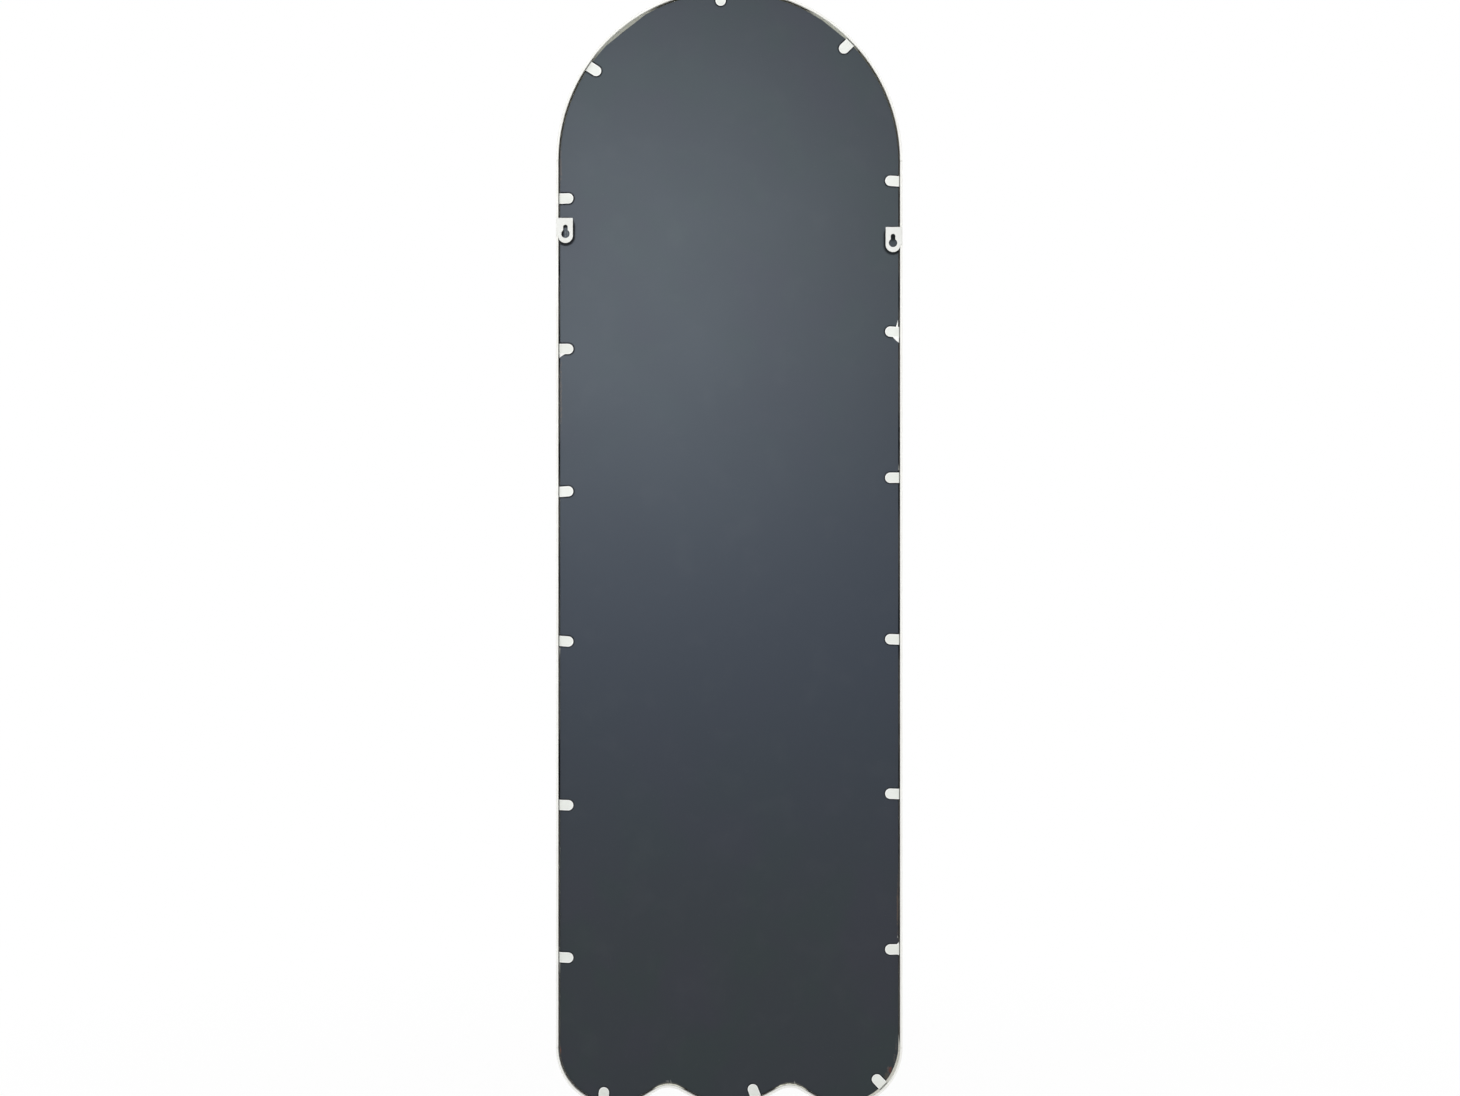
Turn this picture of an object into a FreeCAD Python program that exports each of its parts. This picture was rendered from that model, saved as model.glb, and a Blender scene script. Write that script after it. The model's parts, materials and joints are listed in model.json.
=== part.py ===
import FreeCAD, Part
import math
import os
import Sketcher
from FreeCAD import Placement, Rotation, Vector

# A tall wall mirror with an arched top and a waved foot, modelled as it hangs.
# +Z is up, -Y is the reflecting front and the wall is the plane y = 0.
# The origin lies on the wall, midway between the round holes of the two keyhole hangers.
# Left and right are seen from behind, so left is +X.

doc = FreeCAD.newDocument("WallMirror")
sizes = doc.addObject("Spreadsheet::Sheet", "Sizes")
worked = doc.addObject("Spreadsheet::Sheet", "Worked")

# Driving dimensions, in millimetres and degrees
DRIVING = [
    ("frame_width", 457, "across the rim"),
    ("frame_height", 1476, "from the lobes of the foot to the crown"),
    ("valley_offset", 80, "from the centre line to each valley of the foot"),
    ("valley_radius", 30, "outer radius of a valley"),
    ("wave_depth", 25, "rise of a valley above the lobes"),
    ("flank_length", 18, "straight stretch between a valley and a lobe"),
    ("rim_thickness", 3, "flat bar of the rim"),
    ("rim_depth", 14.5, "width of that bar, front to back"),
    ("lip_width", 9, "front ring, from the rim's outer edge"),
    ("lip_thickness", 1.5, "sheet of the front ring"),
    ("lip_round", 0.6, "rounded outer edge of the front ring"),
    ("tape_width", 3, "glazing tape"),
    ("tape_thickness", 0.8, "glazing tape, pressed"),
    ("tape_setback", 0.4, "from the glass edge to the tape"),
    ("edge_gap", 2.2, "from the rim's inner wall to the glass and the board"),
    ("glass_thickness", 4, "float glass"),
    ("glass_arris", 0.5, "ground edge of the glass"),
    ("coating_thickness", 0.1, "silver and its paint"),
    ("board_thickness", 3, "hardboard back"),
    ("left_flat_angle", 38.4, "middle of the left flat on the arch, from the crown"),
    ("left_flat_depth", 2.5, "how much the left flat takes off the arch"),
    ("right_flat_angle", 38.7, "middle of the right flat, from the crown"),
    ("right_flat_depth", 1, "how much the right flat takes off the arch"),
    ("block_length", 25, "setting block along the foot"),
    ("block_shift", 10, "outer setting blocks, from the lobe's lowest point towards the middle"),
    ("block_margin", 0.3, "block short of the front and back of what it carries"),
    ("tab_width", 13.6, "strip of a bend tab"),
    ("tab_thickness", 1, "strip of a bend tab"),
    ("finger_length", 18.8, "from the fold to the tip"),
    ("fold_radius", 0.6, "round outside of the fold"),
    ("fold_clearance", 0.15, "round the fold"),
    ("foot_height", 6, "welded foot of a tab, along the rim's wall"),
    ("hanger_width", 19.5, "hanger plate inside the rim"),
    ("hanger_head", 21, "from the round hole up to the top of the plate"),
    ("hanger_nose", 2.3, "from the round hole down to the middle of the round end"),
    ("hanger_land", 2.4, "plate over the rim's back edge"),
    ("hanger_thickness", 1.5, "plate"),
    ("hanger_corner", 1, "rounded upper corner of the plate"),
    ("keyhole_inset", 9.5, "from the rim's inner wall to the keyhole"),
    ("keyhole_radius", 5.5, "round hole, for a screw's head"),
    ("slot_radius", 3, "half the slot, for a screw's shank"),
    ("slot_rise", 9, "from the round hole up to the end of the slot"),
    ("keyhole_drop_left", 325, "from the crown to the left round hole"),
    ("keyhole_drop_right", 337, "from the crown to the right round hole"),
]

# Tabs on the straight walls: place as a share of the wall from its foot, and the lean of the finger
WALL_TABS = {
    "left": [(0.9578, 2), (0.7882, 0), (0.6268, 4), (0.4587, -4), (0.2735, -2), (0.1016, -3)],
    "right": [(0.9773, -4), (0.8071, -4), (0.6429, 0.5), (0.4602, -2), (0.2858, -2), (0.1105, 1)],
}

# Tabs on the curved walls: the arc that carries it, its angle from straight up towards +X, and the lean
CURVE_TABS = {
    "tab_crown": ("arch", 2.9, -2.9),
    "tab_arch_left": ("arch", 55.9, 1.5),
    "tab_arch_right": ("arch", -45.5, 0),
    "tab_wave_left": ("left_corner", 168, 8),
    "tab_wave_middle": ("lobe", -159.2, 0),
    "tab_wave_right": ("right_corner", -134.4, -1.6),
}

# How close two coordinates have to be to count as the same
SAME = 1e-6

# Formulas that follow from the driving dimensions
HALF_SPAN = "(Sizes.frame_width / 2 - Sizes.valley_offset)"
CORNER_ROOT = (
    f"sqrt(2 * Sizes.wave_depth * ({HALF_SPAN} + Sizes.valley_radius) + Sizes.flank_length ^ 2)"
)
FORMULAS = [
    ("hang_drop", "(Sizes.keyhole_drop_left + Sizes.keyhole_drop_right) / 2"),
    ("arch_rise", "hang_drop - Sizes.frame_width / 2"),
    ("foot_drop", "Sizes.frame_height - hang_drop"),
    ("corner_radius", f"{HALF_SPAN} + Sizes.wave_depth - {CORNER_ROOT}"),
    ("lobe_reach", "Sizes.valley_offset ^ 2 + Sizes.wave_depth ^ 2 - Sizes.flank_length ^ 2"),
    ("lobe_radius", "lobe_reach / (2 * Sizes.wave_depth) - Sizes.valley_radius"),
    ("corner_offset", "Sizes.frame_width / 2 - corner_radius"),
    ("corner_drop", "foot_drop - corner_radius"),
    ("lobe_drop", "foot_drop - lobe_radius"),
    ("valley_drop", "foot_drop - Sizes.wave_depth + Sizes.valley_radius"),
    ("wall_length", "arch_rise + corner_drop"),
    ("pane_inset", "Sizes.rim_thickness + Sizes.edge_gap"),
    ("rim_back", "Sizes.hanger_thickness"),
    ("lip_back", "rim_back + Sizes.rim_depth"),
    ("glass_front", "lip_back - Sizes.tape_thickness"),
    ("glass_back", "glass_front - Sizes.glass_thickness"),
    ("coating_back", "glass_back - Sizes.coating_thickness"),
    ("board_back", "coating_back - Sizes.board_thickness"),
    ("fold_depth", "board_back - Sizes.tab_thickness + Sizes.fold_radius"),
    ("fold_offset", "Sizes.fold_clearance + Sizes.fold_radius"),
    ("keyhole_offset", "Sizes.frame_width / 2 - Sizes.rim_thickness - Sizes.keyhole_inset"),
]


def fill_sheet(sheet, row, alias, text, note=""):
    sheet.set(f"A{row}", note)
    sheet.set(f"B{row}", text)
    sheet.setAlias(f"B{row}", alias)


tab_rows = []
for side, places in WALL_TABS.items():
    for number, (share, lean) in enumerate(places, start=1):
        tab_rows.append((f"tab_{side}_{number}", share, lean))
for tab, (carrier, angle, lean) in CURVE_TABS.items():
    tab_rows.append((tab, angle, lean))
for tab, place, lean in tab_rows:
    DRIVING.append((f"{tab}_place", place, "place of the tab"))
    DRIVING.append((f"{tab}_lean", lean, "lean of its finger"))
for row, (alias, number, note) in enumerate(DRIVING, start=1):
    fill_sheet(sizes, row, alias, str(number), note)
for row, (alias, formula) in enumerate(FORMULAS, start=1):
    fill_sheet(worked, row, alias, f"={formula}")
doc.recompute()


def size(alias):
    """Value of a driving dimension."""
    return float(sizes.get(alias))


def work(alias):
    """Value of a formula."""
    return float(worked.get(alias))


# Sketching helpers
def new_body(name):
    body = doc.addObject("PartDesign::Body", name)
    body.Label = name
    return body


def new_sketch(body, name, role="XZ_Plane", offset="0"):
    """Sketch on one of the body's origin planes, moved along the plane's normal by an expression.

    The normal of XZ_Plane points to the front, so there the offset is a depth from the wall.
    """
    plane = next(feature for feature in body.Origin.OriginFeatures if feature.Role == role)
    sketch = body.newObject("Sketcher::SketchObject", name)
    sketch.AttachmentSupport = [(plane, "")]
    sketch.MapMode = "FlatFace"
    sketch.setExpression("AttachmentOffset.Base.z", offset)
    return sketch


def add_line(sketch, start, end):
    return sketch.addGeometry(Part.LineSegment(Vector(*start, 0), Vector(*end, 0)))


def add_arc(sketch, centre, radius, first, last):
    """Arc counterclockwise from the first to the last angle, in degrees."""
    circle = Part.Circle(Vector(*centre, 0), Vector(0, 0, 1), radius)
    return sketch.addGeometry(Part.ArcOfCircle(circle, math.radians(first), math.radians(last)))


def end_of(sketch, edge, end):
    point = sketch.getPoint(edge, end)
    return point.x, point.y


def constrain(sketch, kind, *where):
    return sketch.addConstraint(Sketcher.Constraint(kind, *where))


def bind(sketch, kind, *where, to):
    """Dimension that follows an expression."""
    index = constrain(sketch, kind, *where, float(sketch.evalExpression(to)))
    sketch.setExpression(f"Constraints[{index}]", to)


def bind_circle(sketch, arc, radius, across=None, drop=None, rise=None):
    """Radius and centre of an arc: across from the centre line and down or up from the origin."""
    bind(sketch, "Radius", arc, to=radius)
    if across is None:
        constrain(sketch, "PointOnObject", arc, 3, -2)
    else:
        bind(sketch, "DistanceX", -1, 1, arc, 3, to=across)
    if drop is None:
        bind(sketch, "DistanceY", -1, 1, arc, 3, to=rise)
    else:
        bind(sketch, "DistanceY", arc, 3, -1, 1, to=drop)


def bind_across(sketch, edge, end, toward, to):
    """Distance of a point from the sketch's upright axis, on the side that toward gives."""
    if toward > 0:
        bind(sketch, "DistanceX", -1, 1, edge, end, to=to)
    else:
        bind(sketch, "DistanceX", edge, end, -1, 1, to=to)


def bind_twin(sketch, twin, arc):
    """Make an arc the mirror image of another about the centre line."""
    constrain(sketch, "Equal", twin, arc)
    constrain(sketch, "Symmetric", twin, 3, arc, 3, -2)


def flank(sketch, first, first_end, second, second_end):
    """Straight line tangent to two arcs at their ends."""
    line = add_line(sketch, end_of(sketch, first, first_end), end_of(sketch, second, second_end))
    constrain(sketch, "Tangent", first, first_end, line, 1)
    constrain(sketch, "Tangent", line, 2, second, second_end)
    return line


def flank_slope(run, reach):
    """Slope of the flank between two circles: their level distance and the sum of their radii."""
    rise = reach - size("wave_depth")
    return math.degrees(math.atan2(run, rise) - math.atan2(size("flank_length"), reach))


def draw_wave(sketch, inset):
    """Waved foot, set in from the rim's outer edge; returns its two corner arcs, -X first."""
    gap = float(sketch.evalExpression(inset))
    corner_radius = work("corner_radius")
    lobe_radius = work("lobe_radius")
    valley_radius = size("valley_radius")
    valley_x = size("valley_offset")
    corner_x = work("corner_offset")
    inner = flank_slope(valley_x, lobe_radius + valley_radius)
    outer = flank_slope(corner_x - valley_x, corner_radius + valley_radius)
    corner_y = -work("corner_drop")
    valley_y = -work("valley_drop")

    low_corner = add_arc(sketch, (-corner_x, corner_y), corner_radius - gap, 180, 270 + outer)
    low_valley = add_arc(sketch, (-valley_x, valley_y), valley_radius + gap, 90 - inner, 90 + outer)
    lobe = add_arc(sketch, (0, -work("lobe_drop")), lobe_radius - gap, 270 - inner, 270 + inner)
    valley = add_arc(sketch, (valley_x, valley_y), valley_radius + gap, 90 - outer, 90 + inner)
    corner = add_arc(sketch, (corner_x, corner_y), corner_radius - gap, 270 - outer, 360)

    flank(sketch, low_corner, 2, low_valley, 2)
    flank(sketch, low_valley, 1, lobe, 1)
    flank(sketch, lobe, 2, valley, 2)
    flank(sketch, valley, 1, corner, 1)
    bind_circle(sketch, lobe, f"Worked.lobe_radius - ({inset})", drop="Worked.lobe_drop")
    bind_circle(
        sketch, valley, f"Sizes.valley_radius + {inset}",
        across="Sizes.valley_offset", drop="Worked.valley_drop",
    )
    bind_circle(
        sketch, corner, f"Worked.corner_radius - ({inset})",
        across="Worked.corner_offset", drop="Worked.corner_drop",
    )
    bind_twin(sketch, low_valley, valley)
    bind_twin(sketch, low_corner, corner)
    return low_corner, corner


def draw_arch(sketch, inset):
    """Half-round arch, set in from the rim's outer edge."""
    radius = f"Sizes.frame_width / 2 - ({inset})"
    arch = add_arc(sketch, (0, work("arch_rise")), float(sketch.evalExpression(radius)), 0, 180)
    bind_circle(sketch, arch, radius, rise="Worked.arch_rise")
    return arch


def draw_outline(sketch, inset):
    """Closed outline of the mirror, set in from the rim's outer edge by an expression."""
    low_corner, corner = draw_wave(sketch, inset)
    arch = draw_arch(sketch, inset)
    flank(sketch, arch, 2, low_corner, 1)
    flank(sketch, corner, 2, arch, 1)


def close_ends(sketch, outer, inner, end):
    """Square end of a band between two arcs of one centre, level with that centre."""
    line = add_line(sketch, end_of(sketch, outer, end), end_of(sketch, inner, end))
    constrain(sketch, "Coincident", outer, end, line, 1)
    constrain(sketch, "Coincident", line, 2, inner, end)
    constrain(sketch, "Horizontal", outer, end, outer, 3)
    constrain(sketch, "Horizontal", inner, end, inner, 3)


def pad(body, sketch, length, symmetric=False):
    feature = body.newObject("PartDesign::Pad", f"{sketch.Name}_pad")
    feature.Profile = sketch
    feature.setExpression("Length", length)
    if symmetric:
        feature.SideType = "Symmetric"
    doc.recompute()
    return feature


def cut_through(body, sketch):
    """Cut a sketch right through the body, both ways, and make sure that it took something away."""
    before = body.Shape.Volume
    pocket = body.newObject("PartDesign::Pocket", f"{sketch.Name}_cut")
    pocket.Profile = sketch
    pocket.Type = "ThroughAll"
    pocket.SideType = "Symmetric"
    doc.recompute()
    if body.Shape.Volume >= before:
        raise RuntimeError(f"{sketch.Name} cuts nothing")


def outline_edges(shape, depth):
    """Names of the edges that follow the outline at one depth from the wall; level ends are left out."""
    names = []
    for number, edge in enumerate(shape.Edges, start=1):
        box = edge.BoundBox
        if box.YLength < SAME and abs(box.YMin + depth) < SAME and box.ZLength > SAME:
            names.append(f"Edge{number}")
    return names


def edges_along_depth(shape, x, z):
    """Names of the edges that run straight front to back at one place."""
    names = []
    for number, edge in enumerate(shape.Edges, start=1):
        box = edge.BoundBox
        runs_back = box.XLength < SAME and box.ZLength < SAME
        if runs_back and abs(box.XMin - x) < SAME and abs(box.ZMin - z) < SAME:
            names.append(f"Edge{number}")
    return names


def dress_edges(body, kind, edge_names, value_name, value):
    """Fillet or chamfer on the tip of a body."""
    base = body.Tip
    feature = body.newObject(f"PartDesign::{kind}", f"{body.Name}_{kind}")
    feature.Base = (base, edge_names)
    feature.setExpression(value_name, value)
    doc.recompute()


# Panes, rings and bars
def outline_pane(name, inset, depth, thickness):
    """Plate with the mirror's outline, from a depth towards the front."""
    body = new_body(name)
    sketch = new_sketch(body, f"{name}_outline", offset=depth)
    draw_outline(sketch, inset)
    pad(body, sketch, thickness)
    return body


def outline_ring(name, outer_inset, inner_inset, depth, thickness):
    """Flat ring between two insets of the mirror's outline."""
    body = new_body(name)
    sketch = new_sketch(body, f"{name}_outline", offset=depth)
    draw_outline(sketch, outer_inset)
    draw_outline(sketch, inner_inset)
    pad(body, sketch, thickness)
    return body


def trim_flat(body, side, toward, inset):
    """Straight cut across the arch of a pane, where it was trimmed to drop into the rim.

    The sketch's own origin is the arch's centre and its upright axis points at the middle of the cut.
    """
    sketch = new_sketch(body, f"{body.Name}_{side}_flat")
    sketch.setExpression("AttachmentOffset.Base.y", "Worked.arch_rise")
    sketch.AttachmentOffset = Placement(
        sketch.AttachmentOffset.Base, Rotation(Vector(0, 0, 1), -toward * size(f"{side}_flat_angle"))
    )
    radius = f"(Sizes.frame_width / 2 - ({inset}))"
    chord = f"{radius} - Sizes.{side}_flat_depth"
    reach = float(sketch.evalExpression(radius))
    level = float(sketch.evalExpression(chord))
    corners = [(-reach, level), (reach, level), (reach, 2 * reach), (-reach, 2 * reach)]
    lines = [add_line(sketch, corners[i], corners[(i + 1) % 4]) for i in range(4)]
    for i in range(4):
        constrain(sketch, "Coincident", lines[i], 2, lines[(i + 1) % 4], 1)
    constrain(sketch, "Vertical", lines[1])
    constrain(sketch, "Horizontal", lines[2])
    constrain(sketch, "Vertical", lines[3])
    bind(sketch, "DistanceY", -1, 1, lines[0], 1, to=chord)
    bind(sketch, "DistanceY", lines[1], 1, lines[1], 2, to=radius)
    bind(sketch, "DistanceX", lines[0], 1, lines[0], 2, to=f"2 * {radius}")
    constrain(sketch, "Symmetric", lines[0], 1, lines[0], 2, -2)
    cut_through(body, sketch)


def trim_flats(body, inset):
    trim_flat(body, "left", 1, inset)
    trim_flat(body, "right", -1, inset)


def arch_bar(name, width, depth, thickness):
    """Bar bent to the arch, as wide as an expression says inward from the rim's outer edge."""
    body = new_body(name)
    sketch = new_sketch(body, f"{name}_band", offset=depth)
    outer = draw_arch(sketch, "0")
    inner = draw_arch(sketch, width)
    close_ends(sketch, outer, inner, 1)
    close_ends(sketch, outer, inner, 2)
    pad(body, sketch, thickness)
    return body


def wave_bar(name, width, depth, thickness):
    """Bar bent to the waved foot."""
    body = new_body(name)
    sketch = new_sketch(body, f"{name}_band", offset=depth)
    outer_low, outer_high = draw_wave(sketch, "0")
    inner_low, inner_high = draw_wave(sketch, width)
    close_ends(sketch, outer_low, inner_low, 1)
    close_ends(sketch, outer_high, inner_high, 2)
    pad(body, sketch, thickness)
    return body


def wall_bar(name, toward, width, depth, thickness):
    """Straight bar between the arch and the waved foot, on the side that toward gives."""
    body = new_body(name)
    sketch = new_sketch(body, f"{name}_band", offset=depth)
    outer = toward * size("frame_width") / 2
    inner = outer - toward * float(sketch.evalExpression(width))
    low = -work("corner_drop")
    high = work("arch_rise")
    corners = [(outer, low), (outer, high), (inner, high), (inner, low)]
    lines = [add_line(sketch, corners[i], corners[(i + 1) % 4]) for i in range(4)]
    for i in range(4):
        constrain(sketch, "Coincident", lines[i], 2, lines[(i + 1) % 4], 1)
    for i in (0, 2):
        constrain(sketch, "Vertical", lines[i])
        constrain(sketch, "Horizontal", lines[i + 1])
    bind_across(sketch, lines[0], 1, toward, "Sizes.frame_width / 2")
    bind_across(sketch, lines[2], 1, toward, f"Sizes.frame_width / 2 - ({width})")
    bind(sketch, "DistanceY", lines[0], 1, -1, 1, to="Worked.corner_drop")
    bind(sketch, "DistanceY", -1, 1, lines[0], 2, to="Worked.arch_rise")
    pad(body, sketch, thickness)
    return body


def frame_bars(kind, width, depth, thickness):
    """Four bars that meet end to end and go round the whole outline."""
    section = (width, depth, thickness)
    return [
        arch_bar(f"{kind}_arch", *section),
        wall_bar(f"{kind}_left", 1, *section),
        wall_bar(f"{kind}_right", -1, *section),
        wave_bar(f"{kind}_wave", *section),
    ]


lip_bars = frame_bars("lip", "Sizes.lip_width", "Worked.lip_back", "Sizes.lip_thickness")
lip_front = work("lip_back") + size("lip_thickness")
for bar in lip_bars:
    dress_edges(bar, "Fillet", outline_edges(bar.Shape, lip_front), "Radius", "Sizes.lip_round")

rim_bars = frame_bars("rim", "Sizes.rim_thickness", "Worked.rim_back", "Sizes.rim_depth")

TAPE_INSET = "(Worked.pane_inset + Sizes.tape_setback)"
glazing_tape = outline_ring(
    "glazing_tape", TAPE_INSET, f"{TAPE_INSET} + Sizes.tape_width",
    "Worked.glass_front", "Sizes.tape_thickness",
)

mirror_glass = outline_pane(
    "mirror_glass", "Worked.pane_inset", "Worked.glass_back", "Sizes.glass_thickness"
)
trim_flats(mirror_glass, "Worked.pane_inset")
arris_edges = []
for level in ("glass_front", "glass_back"):
    arris_edges += outline_edges(mirror_glass.Shape, work(level))
dress_edges(mirror_glass, "Chamfer", arris_edges, "Size", "Sizes.glass_arris")

COATING_INSET = "(Worked.pane_inset + Sizes.glass_arris)"
silver_coating = outline_pane(
    "silver_coating", COATING_INSET, "Worked.coating_back", "Sizes.coating_thickness"
)
trim_flats(silver_coating, COATING_INSET)

backing_board = outline_pane(
    "backing_board", "Worked.pane_inset", "Worked.board_back", "Sizes.board_thickness"
)
trim_flats(backing_board, "Worked.pane_inset")

# Setting blocks: short lengths of the channel between the pane and the foot of the rim
channel = outline_ring(
    "foot_channel", "Sizes.rim_thickness", "Worked.pane_inset", "Worked.board_back + Sizes.block_margin",
    "Worked.glass_front - Worked.board_back - 2 * Sizes.block_margin",
)
block_places = []
for name, middle in (
    ("left", "Worked.corner_offset - Sizes.block_shift"),
    ("middle", "0"),
    ("right", "Sizes.block_shift - Worked.corner_offset"),
):
    box = doc.addObject("Part::Box", f"block_place_{name}")
    box.setExpression("Length", "Sizes.block_length")
    box.setExpression("Width", "Worked.lip_back")
    box.setExpression("Height", "Worked.corner_radius")
    box.setExpression("Placement.Base.x", f"{middle} - Sizes.block_length / 2")
    box.setExpression("Placement.Base.y", "-Worked.lip_back")
    box.setExpression("Placement.Base.z", "-Worked.foot_drop")
    block_places.append(box)
block_zone = doc.addObject("Part::Compound", "block_zone")
block_zone.Links = block_places
setting_blocks = doc.addObject("Part::Common", "setting_blocks")
setting_blocks.Base = channel
setting_blocks.Tool = block_zone
setting_blocks.Label = "setting_blocks"


# Bend tabs: each is modelled as the tab at the crown, with its fold on the body's own X axis and its
# finger pointing down, and is then turned about Y to its place on the rim's inner wall.
def wall_radius(carrier):
    """Centre and radius of the rim's inner wall on one of its arcs."""
    corner = (work("corner_offset"), -work("corner_drop"), work("corner_radius"))
    arcs = {
        "arch": (0, work("arch_rise"), size("frame_width") / 2),
        "lobe": (0, -work("lobe_drop"), work("lobe_radius")),
        "left_corner": corner,
        "right_corner": (-corner[0], corner[1], corner[2]),
    }
    x, z, radius = arcs[carrier]
    return x, z, radius - size("rim_thickness")


def curve_place(carrier, angle):
    """Where a tab folds on a curved wall: its two edges touch the wall, and its middle stands off."""
    x, z, radius = wall_radius(carrier)
    chord = math.sqrt(radius ** 2 - (size("tab_width") / 2) ** 2)
    reach = chord - work("fold_offset")
    turn = math.radians(angle)
    base = Vector(x + reach * math.sin(turn), -work("fold_depth"), z + reach * math.cos(turn))
    return Placement(base, Rotation(Vector(0, 1, 0), angle))


def wall_place(side, share):
    """Where a tab folds on a straight wall."""
    toward = 1 if side == "left" else -1
    x = toward * (size("frame_width") / 2 - size("rim_thickness") - work("fold_offset"))
    z = share * work("wall_length") - work("corner_drop")
    return Placement(Vector(x, -work("fold_depth"), z), Rotation(Vector(0, 1, 0), 90 * toward))


def tab_finger(name, place):
    """Finger of a tab: a strip with a half-round tip and a round fold, leaning a little to one side."""
    body = new_body(name)
    sketch = new_sketch(body, f"{name}_strip", offset="-Sizes.fold_radius")
    lean = size(f"{name}_lean")
    turn = math.radians(lean)
    half = size("tab_width") / 2
    tip_radius = half * math.cos(turn)
    reach = size("finger_length") - half
    centre = (-reach * math.sin(turn), -reach * math.cos(turn))
    tip = add_arc(sketch, centre, tip_radius, 180 - lean, 360 - lean)
    root = add_line(sketch, (-half, 0), (half, 0))
    far_side = add_line(sketch, (half, 0), end_of(sketch, tip, 2))
    near_side = add_line(sketch, end_of(sketch, tip, 1), (-half, 0))
    constrain(sketch, "Coincident", root, 2, far_side, 1)
    constrain(sketch, "Tangent", far_side, 2, tip, 2)
    constrain(sketch, "Tangent", tip, 1, near_side, 1)
    constrain(sketch, "Coincident", near_side, 2, root, 1)
    constrain(sketch, "Parallel", far_side, near_side)
    constrain(sketch, "Horizontal", root)
    constrain(sketch, "Symmetric", root, 1, root, 2, -1, 1)
    bind(sketch, "DistanceX", root, 1, root, 2, to="Sizes.tab_width")
    length = "(Sizes.finger_length - Sizes.tab_width / 2)"
    bind(sketch, "DistanceX", tip, 3, -1, 1, to=f"{length} * sin(Sizes.{name}_lean)")
    bind(sketch, "DistanceY", tip, 3, -1, 1, to=f"{length} * cos(Sizes.{name}_lean)")
    pad(body, sketch, "Sizes.tab_thickness")

    fold = new_sketch(body, f"{name}_fold", role="YZ_Plane")
    circle = fold.addGeometry(Part.Circle(Vector(0, 0, 0), Vector(0, 0, 1), size("fold_radius")))
    constrain(fold, "Coincident", circle, 3, -1, 1)
    bind(fold, "Radius", circle, to="Sizes.fold_radius")
    pad(body, fold, "Sizes.tab_width", symmetric=True)
    body.Placement = place
    return body


def tab_foot(name, place):
    """Block of strip below a fold, reaching into the wall; the wall's inner face trims it later."""
    foot = doc.addObject("Part::Box", f"{name}_foot")
    foot.setExpression("Length", "Sizes.tab_width")
    foot.setExpression("Width", "Sizes.foot_height")
    foot.setExpression("Height", "Sizes.tab_thickness + Sizes.rim_thickness / 2")
    corner = Vector(
        -size("tab_width") / 2,
        -work("fold_offset") - size("foot_height"),
        work("fold_offset") - size("tab_thickness"),
    )
    foot.Placement = place.multiply(Placement(corner, Rotation()))
    return foot


tab_places = {}
for side, places in WALL_TABS.items():
    for number in range(1, len(places) + 1):
        name = f"tab_{side}_{number}"
        tab_places[name] = wall_place(side, size(f"{name}_place"))
for name, (carrier, angle, lean) in CURVE_TABS.items():
    tab_places[name] = curve_place(carrier, size(f"{name}_place"))

tabs = [tab_finger(name, place) for name, place in tab_places.items()]
feet = [tab_foot(name, place) for name, place in tab_places.items()]
foot_blanks = doc.addObject("Part::Compound", "foot_blanks")
foot_blanks.Links = feet
inner_space = outline_pane("inner_space", "Sizes.rim_thickness", "Worked.rim_back", "Sizes.rim_depth")
tab_feet = doc.addObject("Part::Common", "tab_feet")
tab_feet.Base = foot_blanks
tab_feet.Tool = inner_space
tab_feet.Label = "tab_feet"


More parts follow.
